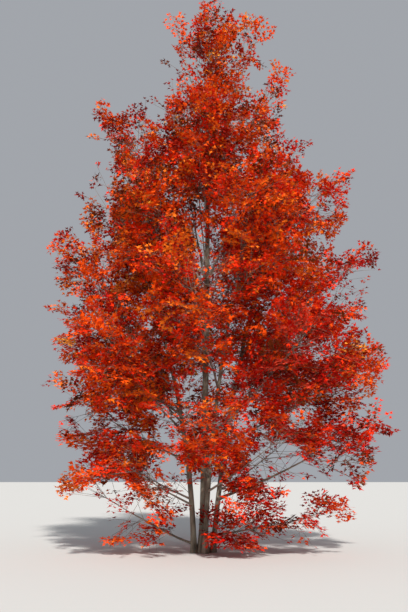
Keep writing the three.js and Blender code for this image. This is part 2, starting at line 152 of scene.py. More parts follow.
# Boughs: name, stem, height on it, azimuth, reach and height of the tip, half width of the foliage, family of
# tints, and bare share of the line: with none, the foliage grows straight from the stem
DIRECT = 0
BOUGHS = [
    ("top_left", "trunk", 8.05, 186, 0.64, 10.83, 0.73, "orange", DIRECT),
    ("top_right", "trunk", 7.85, 352, 1.29, 10.6, 0.8, "orange", DIRECT),
    ("tuft_right", "trunk", 7.0, 4, 1.72, 9.78, 0.78, "orange", DIRECT),
    ("leader_left", "trunk", 4.95, 164, 0.72, 9.75, 0.83, "orange", BOUGH_BARE),
    ("leader_right", "trunk", 5.2, 352, 2.93, 7.25, 1.07, "scarlet", BOUGH_BARE),
    ("shoulder_left", "trunk", 6.35, 178, 2.15, 8.8, 1.0, "scarlet", BOUGH_BARE),
    ("high_back", "trunk", 6.3, 88, 1.5, 9.25, 1.12, "orange", DIRECT),
    ("high_front", "trunk", 5.95, 266, 1.55, 9.0, 1.12, "scarlet", DIRECT),
    ("upper_left_back", "trunk", 4.6, 134, 2.35, 7.45, 1.22, "orange", DIRECT),
    ("upper_left_front", "trunk", 4.4, 224, 2.35, 7.25, 1.22, "orange", BOUGH_BARE),
    ("upper_right_back", "trunk", 4.15, 62, 2.65, 7.0, 1.25, "scarlet", BOUGH_BARE),
    ("middle_back", "trunk", 3.2, 100, 2.95, 5.45, 1.25, "orange", DIRECT),
    ("low_back", "trunk", 1.5, 88, 2.85, 2.9, 1.14, "scarlet", DIRECT),
    ("spike_right", "stem_right", 3.7, 1, 3.4, 5.83, 0.96, "crimson", BOUGH_BARE),
    ("lower_right_back", "stem_right", 2.5, 42, 3.15, 4.6, 1.25, "scarlet", BOUGH_BARE),
    ("inner_right", "stem_right", 3.1, 345, 2.1, 5.5, 0.95, "scarlet", DIRECT),
    ("broad_right", "stem_right", 2.0, 5, 3.48, 3.8, 1.09, "orange", BOUGH_BARE),
    ("low_right", "stem_right", 0.95, 354, 3.4, 2.5, 1.1, "crimson", 0.45),
    ("low_right_back", "stem_right", 1.1, 42, 2.9, 2.45, 1.0, "crimson", DIRECT),
    ("foot_right", "stem_right", 0.3, 345, 2.75, 0.85, 0.7, "crimson", DIRECT),
    ("middle_left", "stem_left", 3.3, 181, 2.86, 6.05, 1.04, "orange", BOUGH_BARE),
    ("lower_left", "stem_left", 2.5, 177, 2.9, 4.7, 0.99, "orange", BOUGH_BARE),
    ("inner_left", "stem_left", 2.9, 200, 2.35, 5.35, 0.95, "orange", DIRECT),
    ("lower_left_back", "stem_left", 2.35, 130, 2.9, 4.3, 1.17, "orange", BOUGH_BARE),
    ("lower_left_front", "stem_left", 2.15, 230, 2.95, 4.1, 1.17, "scarlet", BOUGH_BARE),
    ("broad_left", "stem_left", 1.65, 180, 2.96, 3.2, 1.07, "scarlet", BOUGH_BARE),
    ("foot_left", "stem_left", 0.15, 186, 2.5, 1.45, 0.8, "scarlet", 0.3),
    ("low_left_front", "stem_left", 0.85, 226, 2.65, 2.0, 1.04, "scarlet", DIRECT),
    ("low_left_back", "stem_left", 0.95, 138, 2.7, 1.85, 1.04, "orange", DIRECT),
    ("middle_front", "stem_mid", 2.95, 262, 2.95, 5.35, 1.25, "scarlet", BOUGH_BARE),
    ("lower_right_front", "stem_mid", 2.15, 316, 3.15, 4.45, 1.22, "crimson", BOUGH_BARE),
    ("low_front", "stem_mid", 1.35, 262, 2.75, 2.9, 1.12, "scarlet", BOUGH_BARE),
    ("low_right_front", "stem_mid", 1.1, 308, 2.9, 2.5, 0.95, "crimson", DIRECT),
    ("foot_front", "stem_mid", 0.25, 335, 1.7, 0.95, 0.95, "crimson", DIRECT),
]

# Steep limbs that fork off the trunk where it shows through the crown: height on it, azimuth, reach and
# height of the tip
LEADERS = [
    (5.12, 338, 1.0, 7.4),
    (5.0, 14, 0.72, 7.2),
    (5.22, 235, 0.26, 7.7),
    (5.3, 172, 0.5, 7.3),
    (4.45, 346, 0.62, 6.5),
    (4.7, 150, 0.55, 6.9),
]
LEADER_RADIUS = {"foot": 0.017, "tip": 0.005}
LEADER_KNEE = {"out": 0.55, "up": 0.36}

# Leaves. Those near the ground are longer and lie flatter, in the crown's shade.
LEAF = 0.079  # length of a blade
LEAF_SPREAD = 0.25  # how much single leaves differ in length
LEAF_GROWN = {"heights": (1.5, 5), "longer": (1.22, 1)}
LEAF_TILT = {"heights": (1, 7), "spread": (0.22, 0.62)}
LEAF_WAY = {"forward": (0.2, 0.9), "aside": (0.6, 1.0), "stray": 0.18, "hang": 0.12}
LEAF_FACING = 0.7  # how much a leaf faces with its spray, and as much upwards
END_LEAF = {"stray": 0.2, "facing": 0.6, "tilt": 0.3}
LEAF_FOLD = (-0.1, 0.42)
LEAF_DROOP = (-0.05, 0.25)
LOWEST_LEAF = 0.03
LEAF_ROOM = 1.3  # a leaf with its stalk, in lengths of the blade
STALK = {"length": 0.032, "spread": (0.6, 1.3), "half_width": 0.0012}

# Twiglets of a spray: the main one along it, with opposite pairs of side twiglets out to the spray's outline
TWIGLET_STEP = 0.07  # between pairs of twiglets along a spray
LEAF_STEP = 0.05  # between pairs of leaves along a twiglet
MAIN_TWIGLET = {"length": 0.94, "sag": 0.05, "bend": 0.06, "bare": 0.1}
MAIN_JOINTS = [(0, 0.0042), (0.35, 0.0032), (0.7, 0.0024), (1, 0.0015)]  # share along it, and radius there
SIDE_TWIGLET = {"forward": 0.62, "aside": 0.78, "tilt": 0.28, "stray": 0.08, "spread": (0.8, 1.1),
                "shortest": 0.06, "foot": 0.0022, "tip": 0.0012}

# Finer twigs with small sprays, which fill the space between the large sprays
FINE_TRIES = 130  # for each metre of a mass's wood
FINE_TWIG = {"shortest": 0.04, "more": 0.75, "angles": (28, 72), "rise": 0.12, "foot": 0.0042, "tip": 0.0028}
FINE_SPRAY = {"length": 0.36, "spread": 0.25, "tilt": 1.2}
SPRAY_POINTS = (0.25, 0.6, 0.95)  # shares along a large spray that distances to it are measured from
BOUGH_WOOD = (0.4, 0.7, 1)  # they also grow between these shares of a bough's bare line
STEM_WOOD = {"length": 1.5, "points": 4}  # and from this length of the stem above the bough's root
FINE_CORE = 0.8  # share of the crown's inside that they fill
FINE_LEAN = 0.3  # how far to the right that part of the crown lies
FINE_FOOT = 1.1  # how far from the stems' feet they grow near the ground
# Further out, how near a large spray their tips are, to keep the outline
FINE_NEAR = {"heights": (5.8, 7.6), "near": (0.38, 0.2)}
FINE_WANTED = 0.38  # share of them that grows in the middle of the crown, where less light comes
# Least distance between the middles of sprays: inside the crown, at its edge by height, and in some masses
FINE_APART = 0.18
EDGE_APART = {"heights": (5, 7.5), "apart": (0.18, 0.14)}
CLOSE_MASSES = {
    "foot_left": 0.14,
    "foot_right": 0.13,
    "foot_front": 0.1,
    "low_right_front": 0.14,
    "inner_right": 0.14,
    "broad_right": 0.16,
    "lower_left": 0.16,
}
# Low down the foliage lies in tiers, and is thin between them
TIERS = {"below": 4.2, "apart": 0.5, "slant": 2, "thinned": 0.75}

# Gaps through the crown, as they show from the front at the trunk's depth: middle across and up, half width,
# half height, and share of the leaves that grow there
GAPS = [
    (0.5, 10.75, 0.3, 0.25, 0.4),
    (-0.83, 10.6, 0.15, 0.25, 0.2),
    (1.52, 10.4, 0.24, 0.38, 0.15),
    (1.85, 9.4, 0.17, 0.25, 0.2),
    (-0.5, 9.28, 0.3, 0.48, 0.25),
    (-0.08, 9.45, 0.17, 0.4, 0.35),
    (1.05, 9.15, 0.38, 0.35, 0.3),
    (-0.95, 8.75, 0.28, 0.45, 0.1),
    (1.47, 8.64, 0.25, 0.25, 0.3),
    (-2.1, 8.0, 0.25, 0.18, 0.1),
    (-2.08, 7.62, 0.4, 0.38, 0.08),
    (-1.88, 6.88, 0.16, 0.55, 0.15),
    (-2.3, 7.0, 0.33, 0.38, 0.35),
    (-1.86, 6.12, 0.22, 0.24, 0.4),
    (0.0, 6.75, 0.16, 0.28, 0.4),
    (2.23, 7.6, 0.25, 0.2, 0.2),
    (2.32, 6.56, 0.27, 0.26, 0.2),
    (3.05, 5.14, 0.42, 0.25, 0.12),
    (-3.0, 5.2, 0.36, 0.25, 0.15),
    (0.14, 5.58, 0.36, 0.56, 0.25),
    (0.3, 5.0, 0.34, 0.4, 0.2),
    (0.1, 3.5, 0.24, 0.9, 0.4),
    (2.62, 4.78, 0.35, 0.25, 0.3),
    (-2.74, 4.23, 0.25, 0.25, 0.2),
    (2.12, 3.69, 0.35, 0.22, 0.4),
    (1.83, 3.86, 0.25, 0.2, 0.4),
    (-2.78, 2.87, 0.28, 0.2, 0.4),
    (-0.54, 2.42, 0.39, 0.52, 0.4),
    (0.08, 2.4, 0.25, 0.4, 0.4),
    (0.6, 2.35, 0.35, 0.35, 0.7),
    (0.95, 2.87, 0.22, 0.2, 0.5),
    (1.82, 2.4, 0.28, 0.24, 0.25),
    (3.48, 2.5, 0.22, 0.3, 0.15),
    (-2.4, 2.45, 0.45, 0.25, 0.3),
    (1.34, 1.6, 0.56, 0.45, 0.1),
    (2.55, 1.55, 0.5, 0.28, 0.3),
    (-0.68, 1.35, 0.42, 0.55, 0.25),
    (-1.75, 0.75, 0.8, 0.5, 0.12),
    (0.9, 0.66, 0.72, 0.2, 0.6),
    (2.4, 0.5, 0.35, 0.2, 0.5),
    (1.85, 0.2, 0.85, 0.26, 0.15),
]

GAP_COLUMNS = np.array(GAPS).T
# Gaps that show the trunk lie near the middle of the crown, and fill up with the depth behind the trunk
GAP_BEHIND = {"across": 0.45, "depth": 1.5, "filled": 0.55}

# Tints of the leaves as base colours, and how each family of masses deals them out to its sprays
TINTS = {
    "scarlet": (0.72, 0.028, 0.004),
    "orange_red": (0.79, 0.08, 0.005),
    "orange": (0.82, 0.17, 0.012),
    "amber": (0.8, 0.3, 0.035),
    "deep_red": (0.26, 0.009, 0.003),
    "crimson": (0.58, 0.012, 0.006),
    "rose": (0.74, 0.075, 0.035),
    "russet": (0.17, 0.032, 0.007),
}
FAMILIES = {
    "orange": {
        "orange_red": 0.33, "orange": 0.17, "scarlet": 0.17, "deep_red": 0.16, "russet": 0.13, "amber": 0.04,
    },
    "scarlet": {
        "scarlet": 0.3, "orange_red": 0.3, "deep_red": 0.15, "orange": 0.15, "russet": 0.06, "crimson": 0.04,
    },
    "crimson": {
        "scarlet": 0.28, "crimson": 0.24, "deep_red": 0.2, "orange_red": 0.17, "russet": 0.07, "rose": 0.04,
    },
}
TINT_SHARES = {family: [shares.get(name, 0) for name in TINTS] for family, shares in FAMILIES.items()}
TINT_KEPT = 0.6  # share of a spray's twiglets in its own tint, the others in another of the family

# Bark: pale and dark colours, and how fine and deep its grain is
STEM_BARK = {"pale": (0.33, 0.30, 0.235), "dark": (0.075, 0.065, 0.05), "grain": 1.0, "depth": 0.006}
BOUGH_BARK = {"pale": (0.30, 0.27, 0.215), "dark": (0.08, 0.068, 0.052), "grain": 1.6, "depth": 0.003}
TWIG_COLOR = (0.17, 0.12, 0.09)
WOOD_COLOR = (0.33, 0.29, 0.24)  # of twigs thick enough to have bark
# Low ridges round a stem: how many, how far apart they wander along it, and their share of the relief
RIDGES = [(3, 1.1, 1.0), (5, 0.7, 0.7), (9, 0.34, 0.55), (14, 0.16, 0.45), (21, 0.09, 0.3)]
RIDGE_SHARES = 3.0  # what the shares add up to
RIDGE_WAY = {"sway": 1.4, "twist": 0.3}
RIDGE_SWELL = {"middle": 0.6, "spread": 0.4, "pace": 1.7}
RELIEF_SUNK = 0.4  # share of its depth that the relief lies inside the stem
RINGS_CLOSER = 1.4  # how much closer a stem's rings lie at its foot
RINGS_TURN = 0.6  # how soon they turn from level to square with it
TRUNK_MESH = {"rings": 150, "sides": 40, "relief": 0.0032}
STEM_MESH = {"rings": 100, "sides": 26, "relief": 0.0022}
BOUGH_MESH = {"rings": 26, "sides": 12, "sunk": 0.001}
LEADER_MESH = {"rings": 22, "sides": 8}
COLLAR = {"swell": 0.5, "from": 0.03, "length": 0.05}  # where a bough leaves its stem
KNOTS = [(3, 0.0012, 1.0), (5, 0.0009, -0.7)]  # how many round a bough, height, and turn from ring to ring
# Slight bends: how fast they wave aside and upwards along a limb, and how wide they are
BOUGH_WAVE = {"side": 7, "rise": 5, "width": 0.011}
LEADER_WAVE = {"side": 11, "rise": 9, "width": 0.014}
# The stem of a mass: rings to each pair of twigs, and how early it tapers on a stem's end or side
MASS_STEM = {"tip": 0.0046, "rings": 6, "sides": 7, "slender": 1.35}
# A twig: how far it bends, and its thickness at the foot and taper in shares of its radius
TWIG_MESH = {"sides": 5, "bend": 0.012, "foot": 1.25, "taper": 0.7}

# Studio
FLOOR = {"half_width": 60, "below": 0.004, "color": (0.62, 0.62, 0.61)}
SUN = {"energy": 4.5, "width": 4, "color": (1.0, 0.96, 0.9), "from_zenith": 50, "aside": 10}
SKY = {"color": (0.84, 0.88, 0.95, 1), "strength": 0.43}

UP = np.array([0.0, 0.0, 1.0])


def seeded(seed):
    """A seeded stream of numbers from 0 to 1, the same on every run."""
    state = seed

    def draw():
        nonlocal state
        state = (state * 1664525 + 1013904223) % 4294967296
        return state / 4294967296

    return draw


def unit(vector):
    return vector / np.linalg.norm(vector)


def unit_rows(rows):
    return rows / np.maximum(np.linalg.norm(rows, axis=1, keepdims=True), 1e-9)


def across_frame(along):
    """Two directions square to a line and to each other: the first level, the second upwards."""
    level = np.cross(along, UP)
    if level @ level < 1e-9:
        level = np.array([0.0, 1.0, 0.0])
    level = unit(level)
    return level, unit(np.cross(level, along))


class Bend:
    """A line bent once, from its start towards its knee and on to its end."""

    def __init__(self, start, knee, end):
        self.corners = [np.asarray(corner, float) for corner in (start, knee, end)]

    def at(self, share):
        start, knee, end = self.corners
        return (1 - share) ** 2 * start + 2 * share * (1 - share) * knee + share**2 * end

    def along(self, share):
        start, knee, end = self.corners
        return unit((1 - share) * (knee - start) + share * (end - knee))

    def part(self, low, high):
        start, knee, end = self.corners
        middle = (1 - high) * ((1 - low) * start + low * knee) + high * ((1 - low) * knee + low * end)
        return Bend(self.at(low), middle, self.at(high))

    def length(self):
        points = np.array([self.at(i / 200) for i in range(201)])
        return float(np.linalg.norm(np.diff(points, axis=0), axis=1).sum())

    def share_at_height(self, height):
        low, high = 0.0, 1.0
        for _ in range(40):
            middle = (low + high) / 2
            if self.at(middle)[2] < height:
                low = middle
            else:
                high = middle
        return low


class Limb:
    """A stem or a bough, with its line, the bare share of it, and how wide its foliage spreads."""

    def __init__(self, name, line, bare, spread, family, parent=None, radius=None):
        self.name = name
        self.line = line
        self.bare = bare
        self.spread = spread
        self.family = family
        self.parent = parent
        self.radius = radius
        self.direct = bare == DIRECT


def make_limbs():
    limbs = {}
    for name, foot, knee, tip, bare, radius, spread, family in STEMS:
        limbs[name] = Limb(name, Bend((*foot, 0), knee, tip), bare, spread, family, radius=radius)
    for name, stem, height, azimuth, reach, tip_height, spread, family, bare in BOUGHS:
        parent = limbs[stem]
        root = parent.line.at(parent.line.share_at_height(height))
        turn = math.radians(azimuth)
        tip = np.array([math.cos(turn) * reach, math.sin(turn) * reach, tip_height])
        out, rise = BOUGH_KNEE["out"], BOUGH_KNEE["up"]
        knee = root + (tip - root) * np.array([out, out, rise])
        limbs[name] = Limb(name, Bend(root, knee, tip), bare, spread, family, parent=parent)
    return limbs


class Mass:
    """The foliage on a limb: a line that goes on from the limb's, and its space, a chain of balls."""

    def __init__(self, index, limb):
        self.index = index
        self.limb = limb
        self.name = "leaves_" + limb.name.replace("stem_", "stem_top_")
        if limb.name == "trunk":
            self.name = "leaves_crown_top"
        self.line = limb.line.part(limb.bare, 1)
        self.first = BARE_START if limb.direct else 0
        total = self.line.length()
        end = total - SPRAY["length"] - TWIG_SHORTEST
        # rounded half up, as the solids do
        self.rings = max(2, math.floor((1 - self.first) * end / PAIR_STEP + 0.5))
        self.reach = end / total
        shares = np.arange(SPACE_BALLS) / (SPACE_BALLS - 1)
        self.centres = [self.line.at(self.first + (1 - self.first) * share) for share in shares]
        self.radii = limb.spread * (1 - SPACE_TAPER * shares**2)

    def width_at(self, share):
        return self.limb.spread * (1 - SPACE_TAPER * share**2)

    def on_stem(self, share):
        """The point at a share of the mass's stem, which is straight from ring to ring."""
        ring = min(math.floor(share * self.rings), self.rings - 1)
        low = self.line.at(ring / self.rings * self.reach)
        high = self.line.at((ring + 1) / self.rings * self.reach)
        return low + (high - low) * (share * self.rings - ring)


limbs = make_limbs()
masses = [Mass(index, limb) for index, limb in enumerate(limbs.values())]
ball_centres = np.array([mass.centres for mass in masses])
ball_radii = np.array([mass.radii for mass in masses])


def across_crown(points, lean=CROWN_LEAN):
    """How far points are from the middle of the crown: 0 there, 1 at the edge of its inside."""
    heights, widths = zip(*CROWN)
    limit = np.interp(points[:, 2], heights, widths, left=1e-6, right=1e-6)
    return np.hypot(points[:, 0] - lean, points[:, 1]) / limit


def in_space(mass, points, margin=SPACE_MARGIN):
    """Whether each point lies in the mass's space, and nearer its line than any other mass's."""
    away = np.linalg.norm(points[:, None, None, :] - ball_centres[None], axis=3) / ball_radii[None]
    depth = away.min(axis=2)
    own = depth[:, mass.index].copy()
    depth[:, mass.index] = np.inf
    limit = np.where(across_crown(points) < 1, FILL, 1)
    return (own < limit) & (own * margin < depth.min(axis=1)) & (points[:, 2] > GROUND_CLEARANCE)


def grown_share(point):
    """Share of the leaves that grow at a point: less in the gaps through the crown."""
    away = point - CAMERA_PLACE
    # where the point shows on the upright plane through the trunk
    seen = CAMERA_PLACE + away * (-CAMERA_PLACE[1] / away[1])
    across, up, half_width, half_height, kept = GAP_COLUMNS
    filled = GAP_BEHIND["filled"] * min(max(point[1] / GAP_BEHIND["depth"], 0), 1)
    kept = np.where(np.abs(across) < GAP_BEHIND["across"], kept + (1 - kept) * filled, kept)
    inside = ((seen[0] - across) / half_width) ** 2 + ((seen[2] - up) / half_height) ** 2 < 1
    return float(np.where(inside, kept, 1).min())


def spray_corners(root, direction, normal, length):
    """A spray's root, left shoulder, right shoulder, crown and tip."""
    side = np.cross(normal, direction)
    half = SPRAY["width"] / 2
    middle = root + direction * SPRAY["shoulder"] * length
    return np.array([
        root,
        middle - side * half * length,
        middle + side * half * length,
        middle + normal * SPRAY["thickness"] * length,
        root + direction * length,
    ])


def middle_of(corners):
    return corners[0] + (corners[4] - corners[0]) * SPRAY["shoulder"]


class Spray:
    def __init__(self, corners, direction, normal):
        self.root = corners[0]
        self.direction = direction
        self.normal = normal
        self.length = float(np.linalg.norm(corners[4] - corners[0]))
        self.middle = middle_of(corners)


def varied(draw):
    """A factor round 1, for lengths that differ."""
    return 0.85 + 0.3 * draw()


def leaning_normal(direction, draw):
    normal = np.array([(draw() - 0.5) * 2 * SPRAY["tilt"], (draw() - 0.5) * 2 * SPRAY["tilt"], 1.0])
    return unit(normal - direction * (normal @ direction))


def fitted_spray(mass, sprays, root, direction, draw):
    """The largest spray that fits at a root, in the mass's space and clear of the sprays already there."""
    normal = leaning_normal(direction, draw)
    length = SPRAY["length"] * varied(draw)
    for cut in SPRAY_CUTS:
        corners = spray_corners(root, direction, normal, length * cut)
        middle = middle_of(corners)
        apart = SPRAY_APART * SPRAY["length"]
        if not all(np.linalg.norm(other.middle - middle) > apart for other in sprays):
            continue
        if in_space(mass, corners[1:]).all():
            return Spray(corners, direction, normal)
    return None


def turned(direction, angle):
    level, _ = across_frame(direction)
    turn = math.radians(angle)
    return unit(direction * math.cos(turn) + level * math.sin(turn))


class Twig:
    def __init__(self, root, direction, length, radius):
        self.root = root
        self.direction = direction
        self.length = length
        self.radius = radius

    def at(self, share):
        return self.root + self.direction * self.length * share


def grow_twigs(mass):
    """Opposite pairs of twigs, each pair turned a quarter from the last, and a twig on the stem's end."""
    draw = seeded(mass.index * 7919 + 10)
    twigs, sprays = [], []

    def add_twig(root, direction, lengths, radius):
        for length in lengths:
            spray = fitted_spray(mass, sprays, root + direction * length, direction, draw)
            if spray is None:
                continue
            sprays.append(spray)
            twigs.append(Twig(root, direction, length, radius))
            return

    last = mass.line.at(mass.reach)
    onwards = unit(last - mass.on_stem(1 - 0.5 / mass.rings))
    add_twig(last - onwards * LAST_TWIG["sunk"], onwards, [LAST_TWIG["length"]], LAST_TWIG["radius"])
    for pair in range(mass.rings):
        share = mass.first + (mass.reach - mass.first) * ((pair + 0.5) / mass.rings)
        along = mass.line.along(share)
        level, rise = across_frame(along)
        turn = pair * math.pi / 2 + (draw() - 0.5) + mass.index
        for side in (0, math.pi):
            angle = math.radians(TWIG_ANGLE + TWIG_JITTER * (draw() - 0.5))
            wide = TWIG_REACH * mass.width_at(share) * varied(draw)
            full = wide / math.sin(angle) - SPRAY_PAST * SPRAY["length"]
            out = level * math.cos(turn + side) + rise * math.sin(turn + side)
            direction = along * math.cos(angle) + out * math.sin(angle)
            lengths = [cut * max(TWIG_SHORTEST, full) for cut in TWIG_CUTS]
            add_twig(mass.on_stem(share / mass.reach), direction, lengths, TWIG_RADIUS)
    return twigs, sprays


def grow_side_sprays(mass, twigs, sprays):
    """Opposite pairs of sprays along the twigs, and along the mass's stem between the pairs of twigs."""
    draw = seeded(mass.index * 104729 + 71)

    def add_pair(root, direction):
        for side in (1, -1):
            spray = fitted_spray(mass, sprays, root, turned(direction, side * SPRAY["angle"]), draw)
            if spray is not None:
                sprays.append(spray)

    for twig in twigs:
        back = SPRAY_START
        while back < twig.length - SPRAY_CLEAR:
            add_pair(twig.root + twig.direction * (twig.length - back), twig.direction)
            back += SPRAY_STEP
    for pair in range(mass.rings):
        share = mass.first + (mass.reach - mass.first) * ((pair + 0.9) / mass.rings)
        add_pair(mass.on_stem(share / mass.reach), mass.line.along(share))


def wood_of(mass):
    """Stretches of stem and bough that a mass's finer twigs grow from: start, direction and length."""
    limb, stem = mass.limb, mass.limb.parent
    stretches = [[mass.on_stem(share) for share in np.linspace(mass.first, 1, 2 * mass.rings + 1)]]
    if limb.bare:
        stretches.append([limb.line.at(share * limb.bare) for share in BOUGH_WOOD])
    if stem:
        low = stem.line.share_at_height(limb.line.at(0)[2])
        high = min(stem.bare, low + STEM_WOOD["length"] / stem.line.length())
        shares = np.linspace(low, max(low, high), STEM_WOOD["points"])
        stretches.append([stem.line.at(share) for share in shares])
    pairs = [pair for points in stretches for pair in zip(points, points[1:])]
    return [(low, unit(high - low), np.linalg.norm(high - low)) for low, high in pairs if (high != low).any()]


def throw_fine_twigs(wood, dice):
    """Finer twigs thrown out from the wood: start and way of each, and root and length of its spray."""
    lengths = np.array([row[2] for row in wood])
    tries = int(FINE_TRIES * lengths.sum())
    picks = dice.choice(len(wood), tries, p=lengths / lengths.sum())
    along = np.array([wood[pick][1] for pick in picks])
    far = lengths[picks] * dice.uniform(0.1, 1, tries)
    start = np.array([wood[pick][0] for pick in picks]) + along * far[:, None]
    turn = np.radians(dice.uniform(*FINE_TWIG["angles"], tries))[:, None]
    out = dice.normal(0, 1, (tries, 3))
    out = unit_rows(out - along * (out * along).sum(axis=1, keepdims=True))
    way = unit_rows(along * np.cos(turn) + out * np.sin(turn) + UP * FINE_TWIG["rise"])
    reach = FINE_TWIG["shortest"] + FINE_TWIG["more"] * dice.uniform(0, 1, tries) ** 1.6
    root = start + way * reach[:, None]
    length = FINE_SPRAY["length"] * dice.uniform(1 - FINE_SPRAY["spread"], 1 + FINE_SPRAY["spread"], tries)
    return start, way, root, length


def keeps_outline(tip, taken):
    """Whether each tip is near a large spray, or low down near the stems."""
    away = np.linalg.norm(tip[:, None] - np.array(taken)[None], axis=2).min(axis=1)
    near = away < np.interp(tip[:, 2], FINE_NEAR["heights"], FINE_NEAR["near"])
    foot = np.hypot(tip[:, 0], tip[:, 1]) + np.maximum(tip[:, 2] - 1, 0) < FINE_FOOT
    return near | foot


def wanted_share(middle):
    """Share of the finer twigs that grow at each place: fewer deep in the crown and between the tiers."""
    wanted = FINE_WANTED + (1 - FINE_WANTED) * np.clip(across_crown(middle), 0, 1)
    wave = 2 * math.pi * middle[:, 2] / TIERS["apart"] + TIERS["slant"] * middle[:, 0] + middle[:, 1]
    between = np.cos(wave) > 0
    return wanted * (1 - TIERS["thinned"] * between * np.clip(TIERS["below"] - middle[:, 2], 0, 1))


def grow_fine_twigs(mass, twigs, sprays, dice):
    """Finer twigs with a small spray each, from a mass's wood to wherever its space is still empty."""
    wood = wood_of(mass) + [(twig.root, twig.direction, twig.length) for twig in twigs]
    start, way, root, length = throw_fine_twigs(wood, dice)
    tip = root + way * length[:, None]
    middle = (root + tip) / 2
    taken = []
    for spray in sprays:
        taken.extend(spray.root + spray.direction * spray.length * share for share in SPRAY_POINTS)
    inside = across_crown(tip, FINE_LEAN) < FINE_CORE
    close = mass.limb.name in CLOSE_MASSES
    fits = in_space(mass, tip, 1.0) & in_space(mass, middle, 1.0)
    fits &= ((tip > box_low) & (tip < box_high)).all(axis=1)
    fits &= keeps_outline(tip, taken) | inside | close
    fits &= dice.uniform(0, 1, len(tip)) < wanted_share(middle)
    if close:
        apart = np.full(len(tip), CLOSE_MASSES[mass.limb.name])
    else:
        edge = np.interp(tip[:, 2], EDGE_APART["heights"], EDGE_APART["apart"])
        apart = np.where(inside, FINE_APART, edge)
    fine = []
    for i in np.flatnonzero(fits):
        if np.linalg.norm(np.array(taken) - middle[i], axis=1).min() < apart[i]:
            continue
        if dice.uniform() > grown_share(middle[i]):
            continue
        taken.append(middle[i])
        normal = dice.uniform(-FINE_SPRAY["tilt"], FINE_SPRAY["tilt"], 3) * (1, 1, 0) + UP
        normal = unit(normal - way[i] * (normal @ way[i]))
        fine.append((start[i], Spray(spray_corners(root[i], way[i], normal, length[i]), way[i], normal)))
    return fine


class Foliage:
    """Leaves and twiglets as they are grown, kept as plain rows until they are made into meshes."""

    def __init__(self):
        self.leaves = []
        self.rods = []

    def leaf(self, root, direction, normal, size, tint):
        if root[2] > LOWEST_LEAF + LEAF_ROOM * size:
            self.leaves.append((*root, *direction, *normal, size, tint))

    def rod(self, start, end, start_radius, end_radius):
        if min(start[2], end[2]) > LOWEST_LEAF:
            self.rods.append((*start, *end, start_radius, end_radius))


def tint_of(family, dice):
    """The number of a tint, drawn by its share of the family."""
    return int(dice.choice(len(TINTS), p=TINT_SHARES[family]))


def spray_half_width(share):
    shoulder = SPRAY["shoulder"]
    rise = share / shoulder if share < shoulder else (1 - share) / (1 - shoulder)
    return SPRAY["width"] / 2 * rise


def leaf_pair(foliage, at, direction, side, normal, dice, tint):
    """Two leaves, one each side."""
    longer = np.interp(at[2], LEAF_GROWN["heights"], LEAF_GROWN["longer"])
    tilt = np.interp(at[2], LEAF_TILT["heights"], LEAF_TILT["spread"])
    for sign in (1, -1):
        way = direction * dice.uniform(*LEAF_WAY["forward"]) + side * sign * dice.uniform(*LEAF_WAY["aside"])
        way = way + dice.normal(0, LEAF_WAY["stray"], 3) - UP * LEAF_WAY["hang"]
        face = normal * LEAF_FACING + UP * LEAF_FACING + dice.normal(0, tilt, 3)
        foliage.leaf(at, way, face, LEAF * longer * (1 + LEAF_SPREAD * dice.uniform(-1, 1)), tint)


def grow_side_twiglet(foliage, spray, at, aside, reach, dice, family, tint):
    """A twiglet out to the spray's outline, with pairs of leaves along it, unless a gap leaves it out."""
    tilt = SIDE_TWIGLET["tilt"]
    way = spray.direction * SIDE_TWIGLET["forward"] + aside * SIDE_TWIGLET["aside"]
    way = way + spray.normal * dice.uniform(-tilt, tilt) + dice.normal(0, SIDE_TWIGLET["stray"], 3)
    way = unit(way)
    length = reach / SIDE_TWIGLET["aside"]
    tip = at + way * length
    if dice.uniform() > grown_share((at + tip) / 2):
        return
    foliage.rod(at, tip, SIDE_TWIGLET["foot"], SIDE_TWIGLET["tip"])
    own_tint = tint if dice.uniform() < TINT_KEPT else tint_of(family, dice)
    pairs = max(1, int(length / LEAF_STEP))
    across = np.cross(spray.normal, way)
    for pair in range(pairs):
        spot = at + way * length * (pair + 0.7) / pairs
        leaf_pair(foliage, spot, way, across, spray.normal, dice, own_tint)


def grow_spray(foliage, spray, dice, family):
    """A spray: its main twiglet, the side twiglets in opposite pairs, and a leaf at the end."""
    tint = tint_of(family, dice)
    direction, normal = spray.direction, spray.normal
    side = np.cross(normal, direction)
    sag = -UP * MAIN_TWIGLET["sag"] * spray.length
    bend = side * dice.uniform(-MAIN_TWIGLET["bend"], MAIN_TWIGLET["bend"]) * spray.length

    def axis(share):
        onwards = direction * spray.length * share * MAIN_TWIGLET["length"]
        return spray.root + onwards + (sag + bend) * share**2

    for (low, low_radius), (high, high_radius) in zip(MAIN_JOINTS, MAIN_JOINTS[1:]):
        foliage.rod(axis(low), axis(high), low_radius, high_radius)
    bare = MAIN_TWIGLET["bare"]
    count = max(3, int(spray.length * (1 - bare) / TWIGLET_STEP))
    for i in range(count):
        share = bare + (1 - bare) * (i + 0.5) / count
        at = axis(share)
        reach = spray_half_width(share) * spray.length * dice.uniform(*SIDE_TWIGLET["spread"])
        if reach < SIDE_TWIGLET["shortest"]:
            if dice.uniform() < grown_share(at):
                leaf_pair(foliage, at, direction, side, normal, dice, tint)
            continue
        for sign in (1, -1):
            grow_side_twiglet(foliage, spray, at, side * sign, reach, dice, family, tint)
    face = normal * END_LEAF["facing"] + UP * END_LEAF["facing"] + dice.normal(0, END_LEAF["tilt"], 3)
    foliage.leaf(axis(1), direction + dice.normal(0, END_LEAF["stray"], 3), face, LEAF, tint)


# A leaf's outline, along and across in shares of its length: three pointed lobes
LEAF_POINTS = {
    "base": (0.0, 0.0),
    "lobe": (0.44, 0.52),
    "notch": (0.46, 0.17),
    "tip": (1.0, 0.0),
}


